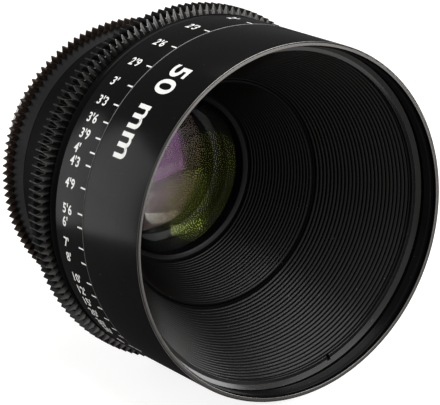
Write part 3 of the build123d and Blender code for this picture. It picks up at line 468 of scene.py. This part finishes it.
def ticks(name, marks, radius):
    """Engraved lines filled with paint. Each mark is (phi, first depth, last depth, width)."""
    lift = 0.03
    pieces = []
    for phi, near, far, width in marks:
        bpy.ops.object.select_all(action="DESELECT")
        bpy.ops.mesh.primitive_cube_add(size=1, location=on_ring(radius, (near + far) / 2, phi),
                                        rotation=(0, -radians(phi), 0),
                                        scale=(width * MM, (far - near) * MM, 2 * lift * MM))
        bpy.ops.object.transform_apply(location=True, rotation=True, scale=True)
        pieces.append(bpy.context.object)
    for line in pieces:
        line.select_set(True)
    bpy.context.view_layer.objects.active = pieces[0]
    if len(pieces) > 1:
        bpy.ops.object.join()
    piece = bpy.context.object
    piece.name = name
    apply_modifier(piece, "BEVEL", width=0.5 * lift * MM, segments=1, limit_method="ANGLE", angle_limit=radians(40))
    return piece


# ---------------------------------------------------------------- front barrel and its rings

def grooves(radius, start, pitch, count, deep):
    """Corners of a thread's turns down a bore."""
    corners = []
    for index in range(count):
        near = start + index * pitch
        corners += [(radius, near), (radius, near + 0.12 * pitch), (radius + deep, near + 0.5 * pitch),
                    (radius, near + 0.88 * pitch)]
    return corners


rim_outline = [(55.62, 0.1), (55.72, 0.0), (56.55, 0.0), (56.62, 0.12), (56.74, 0.12), (56.82, 0.05)]
barrel_outline = [(BARREL_RADIUS, 0.25), (BARREL_RADIUS, 30.95), (56.8, 31.2), (48.06, 31.2), (48.06, 28.5),
                  (54.2, 28.5), (54.2, 10.7), (55.3, 10.7), (55.3, 5.6)]
thread_outline = [(55.5, 1.9), (55.5, 2.25), (55.28, 2.4)] + grooves(54.95, 2.6, 0.72, 4, 0.36)
front_shell = turned("front_barrel_shell", rim_outline + barrel_outline + list(reversed(thread_outline))
                     + [(55.62, 1.75), (55.62, 0.5)], edge=0.04)
dress(front_shell, BLACK_ANODISED, "lens_body", ("front_barrel",))
front_shell.data.materials.append(RIM_ANODISED)
RIM_END, RIM_GROOVE = 0.2, (56.56, 56.78)
for face in front_shell.data.polygons:
    out = hypot(face.center.x, face.center.z) / MM
    if face.center.y < y_of(RIM_END) and not RIM_GROOVE[0] < out < RIM_GROOVE[1]:
        face.material_index = 1

hood_ring = turned("hood_retaining_ring", [
    (52.6, 8.35), (52.72, 8.25), (53.9, 8.25), (55.1, 7.05), (55.2, 7.1), (55.2, 9.6), (52.6, 9.6)], edge=0.05)
NOTCH = (1.3 * MM, 2.0 * MM, 2.4 * MM)
for notch_phi in (21.5, 201.5):
    bpy.ops.mesh.primitive_cube_add(size=1, location=on_ring(53.1, 8.3, notch_phi),
                                    rotation=(0, -radians(notch_phi), 0), scale=NOTCH)
    cutter = bpy.context.object
    bpy.ops.object.transform_apply(location=True, rotation=True, scale=True)
    apply_modifier(hood_ring, "BOOLEAN", operation="DIFFERENCE", solver="EXACT", object=cutter)
    bpy.data.objects.remove(cutter)
dress(hood_ring, PALE_RING, "lens_body", ("baffle_retaining_ring",))


def ribbed(name, near, near_depth, far, far_depth, ribs, deep, extra):
    """A cone with fine ridges turned into it: a rounded crest, and a groove behind it."""
    pitch = (far_depth - near_depth) / ribs
    outline = []
    for rib in range(ribs):
        crest = near + (far - near) * rib / ribs
        depth = near_depth + pitch * rib
        outline += [(crest + 0.5, depth + 0.02), (crest + 0.28, depth + 0.13 * pitch),
                    (crest + 0.1, depth + 0.29 * pitch), (crest, depth + 0.45 * pitch),
                    (crest + 0.03, depth + 0.54 * pitch),
                    (crest + 0.5 * deep, depth + 0.58 * pitch), (crest + deep, depth + 0.64 * pitch),
                    (crest + deep, depth + 0.9 * pitch)]
    outline.append((far, far_depth))
    piece = turned(name, outline + extra, around=200)
    dress(piece, MATT_BAFFLE)
    piece.data.materials.append(BLACK_INSIDE)
    # The crests keep the matt baffle black and the groove floors take a darker, duller black: painted shade in the
    # grooves.
    for face in piece.data.polygons:
        depth = face.center.y / MM + FLANGE
        crest = near + (far - near) * (depth - near_depth) / (far_depth - near_depth)
        face.material_index = int(hypot(face.center.x, face.center.z) / MM - crest > 0.6 * deep)
    return piece


outer_ribs = ribbed("outer_ribbed_hood", 52.6, 9.6, 37.5, 41.6, 26, 0.75, [
    (39.0, 41.6), (54.1, 10.7), (55.2, 10.7), (55.2, 9.6)])
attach(outer_ribs, "lens_body")
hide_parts("outer_ribbed_baffle")
inner_ribs = ribbed("inner_ribbed_hood", 36.1, 41.6, 28.4, 66.3, 20, 0.7, [
    (28.4, 67.5), (29.97, 67.5), (29.97, 70.88), (31.27, 70.88), (31.27, 66.3), (37.2, 41.6)])
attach(inner_ribs, "optical_carriage")
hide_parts("inner_ribbed_baffle")

glass_ring = turned("front_glass_ring", [
    (26.6, 67.1), (26.75, 66.9), (28.1, 66.3), (28.3, 66.4), (28.3, 67.56), (27.2, 67.56), (27.2, 71.0), (26.6, 71.0),
    (26.6, 69.6), (26.72, 69.5), (26.6, 69.4), (26.6, 68.2)], edge=0.03)
dress(glass_ring, GREY_ANODISED, "optical_carriage", ("front_retaining_ring",))

# ---------------------------------------------------------------- glass

# Piece, the node it stands for, front and rear coat, depth of the front vertex, front and rear curve, thickness,
# radius, and how far out each curve goes.
GLASSES = [
    ("front_glass", "front_element", PURPLE_COAT, GREEN_COAT, 65.78, 70, -150, 9.0, 27.2, 27.2, 27.2),
    ("second_glass", "second_element", AMBER_COAT, RED_COAT, 75.58, 36, 60, 7.0, 22.0, 22.0, 22.0),
    ("third_glass", "front_doublet_crown", AMBER_COAT, AMBER_COAT, 83.28, 34, 120, 4.6, 18.0, 18.0, 18.0),
    ("fourth_glass", "front_doublet_flint", AMBER_COAT, AMBER_COAT, 87.9, 120, 21, 2.0, 18.0, 18.0, 14.0),
    ("fifth_glass", "rear_doublet_flint", PURPLE_COAT, AMBER_COAT, 107.13, -21, 60, 2.0, 16.5, 13.0, 16.5),
    ("sixth_glass", "rear_doublet_crown", AMBER_COAT, AMBER_COAT, 109.15, 60, -34, 7.5, 16.5, 16.5, 16.5),
    ("seventh_glass", "relay_element", GREEN_COAT, AMBER_COAT, 117.25, 90, -90, 4.0, 17.0, 17.0, 17.0),
    ("eighth_glass", "last_pair_crown", AMBER_COAT, AMBER_COAT, 121.85, 60, -70, 5.0, 17.0, 17.0, 17.0),
    ("ninth_glass", "rear_element", AMBER_COAT, PURPLE_COAT, 126.87, -70, 150, 1.8, 17.0, 17.0, 17.0)]
for name, node, front_coat, rear_coat, *measures in GLASSES:
    lens_element(name, node, (front_coat, rear_coat), *measures)

# ---------------------------------------------------------------- focus ring

bead = [(55.7 + 1.3 * sin(pi * share), 49.7 + 2.8 * share) for share in
        (0.0, 0.06, 0.14, 0.24, 0.36, 0.5, 0.64, 0.76, 0.86, 0.94, 1.0)]
scale_ring = turned("distance_scale_ring", [
    (51.07, 31.3), (56.72, 31.3), (BARREL_RADIUS, 31.58), (BARREL_RADIUS, 47.6), (56.85, 47.8), (55.7, 47.8),
    (55.7, 49.72)]
    + [(55.6, 49.74), (55.6, 52.46), (55.0, 52.5), (55.0, 55.5), (54.0, 55.5), (54.0, 61.5), (51.07, 61.5)], edge=0.05)
dress(scale_ring, BLACK_ANODISED, "focus_ring", ("focus_scale_ring",))
bead_ring = turned("polished_bead", bead + [(55.55, 52.5), (55.55, 49.7)])
dress(bead_ring, BEAD_POLISH, "focus_ring")

focus_teeth = toothed("focus_gear_teeth", 146, 59.2, 57.4, 54.02, 55.5, 61.5, 0.06, 0.8)
dress(focus_teeth, GEAR_FOCUS, "focus_ring", ("focus_gear",))
focus_teeth.data.materials.append(GEAR_FACES_PAINTED_HIGHLIGHT)
# The teeth's front faces, which face the lamps, take the lighter metal: a painted highlight.
FACES_FRONT = -0.35
for face in focus_teeth.data.polygons:
    face.material_index = int(face.normal.y < FACES_FRONT)

iris_teeth = toothed("iris_gear_teeth", 118, 48.0, 46.2, 44.02, 94.5, 98.6, 0.06, 0.35)
dress(iris_teeth, GEAR_IRIS, "iris_ring", ("iris_gear",))

distances = [("1'6", 18), ("1'9", 21), ("2'", 24), ("2'3", 27), ("2'6", 30), ("2'9", 33), ("3'", 36), ("3'3", 39),
             ("3'6", 42), ("3'9", 45), ("4'", 48), ("4'3", 51), ("4'9", 57), ("5'6", 66), ("6'", 72), ("7'", 84),
             ("8'", 96), ("10'", 120), ("12'", 144), ("15'", 180), ("20'", 240), ("30'", 360), ("50'", 600)]


def scale_phi(inches):
    """Where a distance stands, fitted to the numbers that can be read."""
    turn, offset = 3380.8, 0.291
    return FAR_PHI - turn / (inches - offset)


scale_words = [(text, scale_phi(inches), 43.45, 3.05, "forward", "LEFT", 0.075) for text, inches in distances]
scale_marks = [(scale_phi(inches), 31.6, 34.4, 0.5) for text, inches in distances] + [(FAR_PHI, 31.6, 35.0, 0.5)]
# A thin grey ring on the scale ring's front edge: a painted highlight of the chamfer's glint, not a finish of the
# lens.
seam_highlight = turned("scale_ring_edge", [(56.85, 31.4), (57.005, 31.56), (56.98, 31.6), (56.82, 31.46)])
dress(seam_highlight, EDGE_PAINTED_HIGHLIGHT, "focus_ring")
numbers = wrapped(scale_words, BARREL_RADIUS)
numbers.name = "distance_numbers"
dress(numbers, WHITE_FILL, "focus_ring")
dress(ticks("distance_ticks", scale_marks, BARREL_RADIUS), WHITE_FILL, "focus_ring")

focal_mark = wrapped([("50 mm", 47.0, 17.7, 8.6, "round", "CENTER", 0.22)], BARREL_RADIUS)
focal_mark.name = "focal_number"
dress(focal_mark, WHITE_FILL, "lens_body")

# An 8 that lies on its side is the infinity mark.
infinity = wrapped([("8", FAR_PHI, 39.6, 3.4, "round", "CENTER", 0.03)], BARREL_RADIUS)
infinity.name = "far_mark"
dress(infinity, WHITE_FILL, "focus_ring")
dress(ticks("focus_index", [(FAR_PHI, 27.2, 30.9, 0.6)], BARREL_RADIUS), WHITE_FILL, "lens_body")

# ---------------------------------------------------------------- iris scale

stops = [("22", 22), ("16", 16), ("11", 11), ("8", 8), ("5.6", 5.6), ("4", 4), ("2.8", 2.8), ("2", 2), ("1.5", 1.5)]


def stop_phi(number):
    """The stops are spaced by their logarithm over the ring's travel, with the widest at the index at rest."""
    widest, smallest = 1.5, 22
    return IRIS_INDEX_PHI - IRIS_TRAVEL * log(number / widest) / log(smallest / widest)


stop_words = [(text, stop_phi(number), 93.9, 2.2, "forward", "LEFT", 0.03) for text, number in stops]
stop_numbers = wrapped(stop_words, IRIS_RADIUS)
stop_numbers.name = "stop_numbers"
dress(stop_numbers, WHITE_FILL, "iris_ring")
dress(ticks("stop_ticks", [(stop_phi(number), 87.6, 89.4, 0.35) for text, number in stops], IRIS_RADIUS),
      WHITE_FILL, "iris_ring")
dress(ticks("iris_index", [(IRIS_INDEX_PHI, 84.0, 86.8, 0.5)], IRIS_RADIUS), WHITE_FILL, "lens_body")

# ---------------------------------------------------------------- carried-over solids

FINISHES = {
    "black_anodised": BLACK_ANODISED, "matt_black_baffle": BLACK_INSIDE, "gear_anodised": GEAR_IRIS,
    "grey_anodised": GREY_ANODISED, "mount_steel": MOUNT_STEEL, "key_bronze": KEY_BRONZE,
    "blade_steel": BLADE_STEEL, "coated_glass": PURPLE_COAT}
for entry in frame["record"]["subparts"]:
    piece = frame["nodes"][entry["node"]]
    piece.data.materials.clear()
    piece.data.materials.append(FINISHES[entry["material_slot"]])
frame["nodes"]["iris_ring"].data.materials[0] = IRIS_ANODISED
for node in ("second_retaining_ring", "stop_retaining_ring"):
    frame["nodes"][node].data.materials[0] = PALE_RING
for node in ("barrel_screws", "housing_screws", "mount_screws", "focus_ring_screws", "key_screws", "cell_screws"):
    frame["nodes"][node].data.materials[0] = SCREW_STEEL
for node in ("main_barrel", "rear_housing", "focus_helicoid_ring"):
    frame["nodes"][node].data.materials[0] = BLACK_INSIDE

# ---------------------------------------------------------------- floor, lights, world and camera

bpy.ops.object.select_all(action="DESELECT")
FLOOR_HEIGHT = -0.0593
PAPER_GLOW = 0.86  # under 1, so that the shadow on the floor still shows
PAPER_IN_METAL = 0.3
WORLD_LIGHT = 0.3
bpy.ops.mesh.primitive_plane_add(size=30, location=(0, 0, FLOOR_HEIGHT))
floor = bpy.context.object
floor.name = "studio_floor"
paper = bpy.data.materials.new("pale_paper")
paper.use_nodes = True
nodes, links = paper.node_tree.nodes, paper.node_tree.links
shader = nodes["Principled BSDF"]
shader.inputs["Base Color"].default_value = (0.3, 0.29, 0.28, 1)
shader.inputs["Roughness"].default_value = 0.9
shader.inputs["Specular IOR Level"].default_value = 0.1


def seen_by(tree, in_metal):
    """Where the background shows: to the camera, through glass, and by a share of it in the metal."""
    rays = tree.nodes.new("ShaderNodeLightPath")
    seen = math(tree, "MAXIMUM", rays.outputs["Is Camera Ray"], rays.outputs["Is Transmission Ray"])
    return math(tree, "MAXIMUM", seen, math(tree, "MULTIPLY", rays.outputs["Is Glossy Ray"], in_metal))


shader.inputs["Emission Color"].default_value = (1, 1, 1, 1)
links.new(math(paper.node_tree, "MULTIPLY", seen_by(paper.node_tree, PAPER_IN_METAL), PAPER_GLOW),
          shader.inputs["Emission Strength"])
floor.data.materials.append(paper)

world = bpy.data.worlds.new("white_studio")
bpy.context.scene.world = world
world.use_nodes = True
tree = world.node_tree
background = tree.nodes["Background"]
background.inputs["Color"].default_value = (1, 1, 1, 1)
tree.links.new(math(tree, "MULTIPLY_ADD", seen_by(tree, 1.0), 1 - WORLD_LIGHT, WORLD_LIGHT),
               background.inputs["Strength"])


def softbox(name, place, target, width, height, power, colour=(1, 1, 1), roll=0.0):
    """A lamp that lights the lens and shows in it, but not to the camera."""
    light = bpy.data.lights.new(name, "AREA")
    light.shape = "RECTANGLE"
    light.size, light.size_y, light.energy, light.color = width, height, power, colour
    lamp = bpy.data.objects.new(name, light)
    bpy.context.scene.collection.objects.link(lamp)
    lamp.location = place
    facing = (Vector(target) - Vector(place)).to_track_quat("-Z", "Y")
    lamp.rotation_euler = (facing @ Quaternion((0, 0, 1), radians(roll))).to_euler()
    lamp.visible_camera = False


softbox("rear_left_panel", (-0.1925, 0.07, 0.0365), (-0.1925, -0.1, 0.0365), 0.115, 0.187, 0.57)
softbox("overhead_softbox", (0.14, -0.5, 0.95), (0, -0.08, 0), 1.2, 0.36, 15.0)
softbox("front_right_panel", (0.069, -0.25, 0.047), (0.069, -0.05, 0.047), 0.118, 0.206, 0.2, roll=10.0)
softbox("front_softbox", (0.35, -1.1, 0.52), (0, -0.06, 0), 0.6, 0.24, 4.4)
softbox("right_softbox", (0.6, -0.3, 0.12), (0, -0.09, 0), 0.25, 0.34, 4.0)
softbox("top_softbox", (0.15, 0.35, 0.9), (0, -0.06, 0), 0.5, 0.5, 2.0, (1, 0.95, 0.9))

# The camera's place and directions were solved from the ellipses of the rings.
camera_data = bpy.data.cameras.new("photo_camera")
camera_data.sensor_width = 36
camera_data.lens = 189.6
camera_data.clip_start = 0.01
camera_data.clip_end = 60
camera = bpy.data.objects.new("photo_camera", camera_data)
bpy.context.scene.collection.objects.link(camera)
right = Vector((0.83063, -0.55682, 0.0))
up = Vector((0.15309, 0.22837, 0.96146))
ahead = Vector((0.53536, 0.79862, -0.27494))
camera.matrix_world = Matrix.Translation((-0.3989, -0.6719, 0.2021)) @ Matrix(
    (right, up, -ahead)).transposed().to_4x4()
bpy.context.scene.camera = camera
bpy.context.scene.view_settings.view_transform = "Standard"
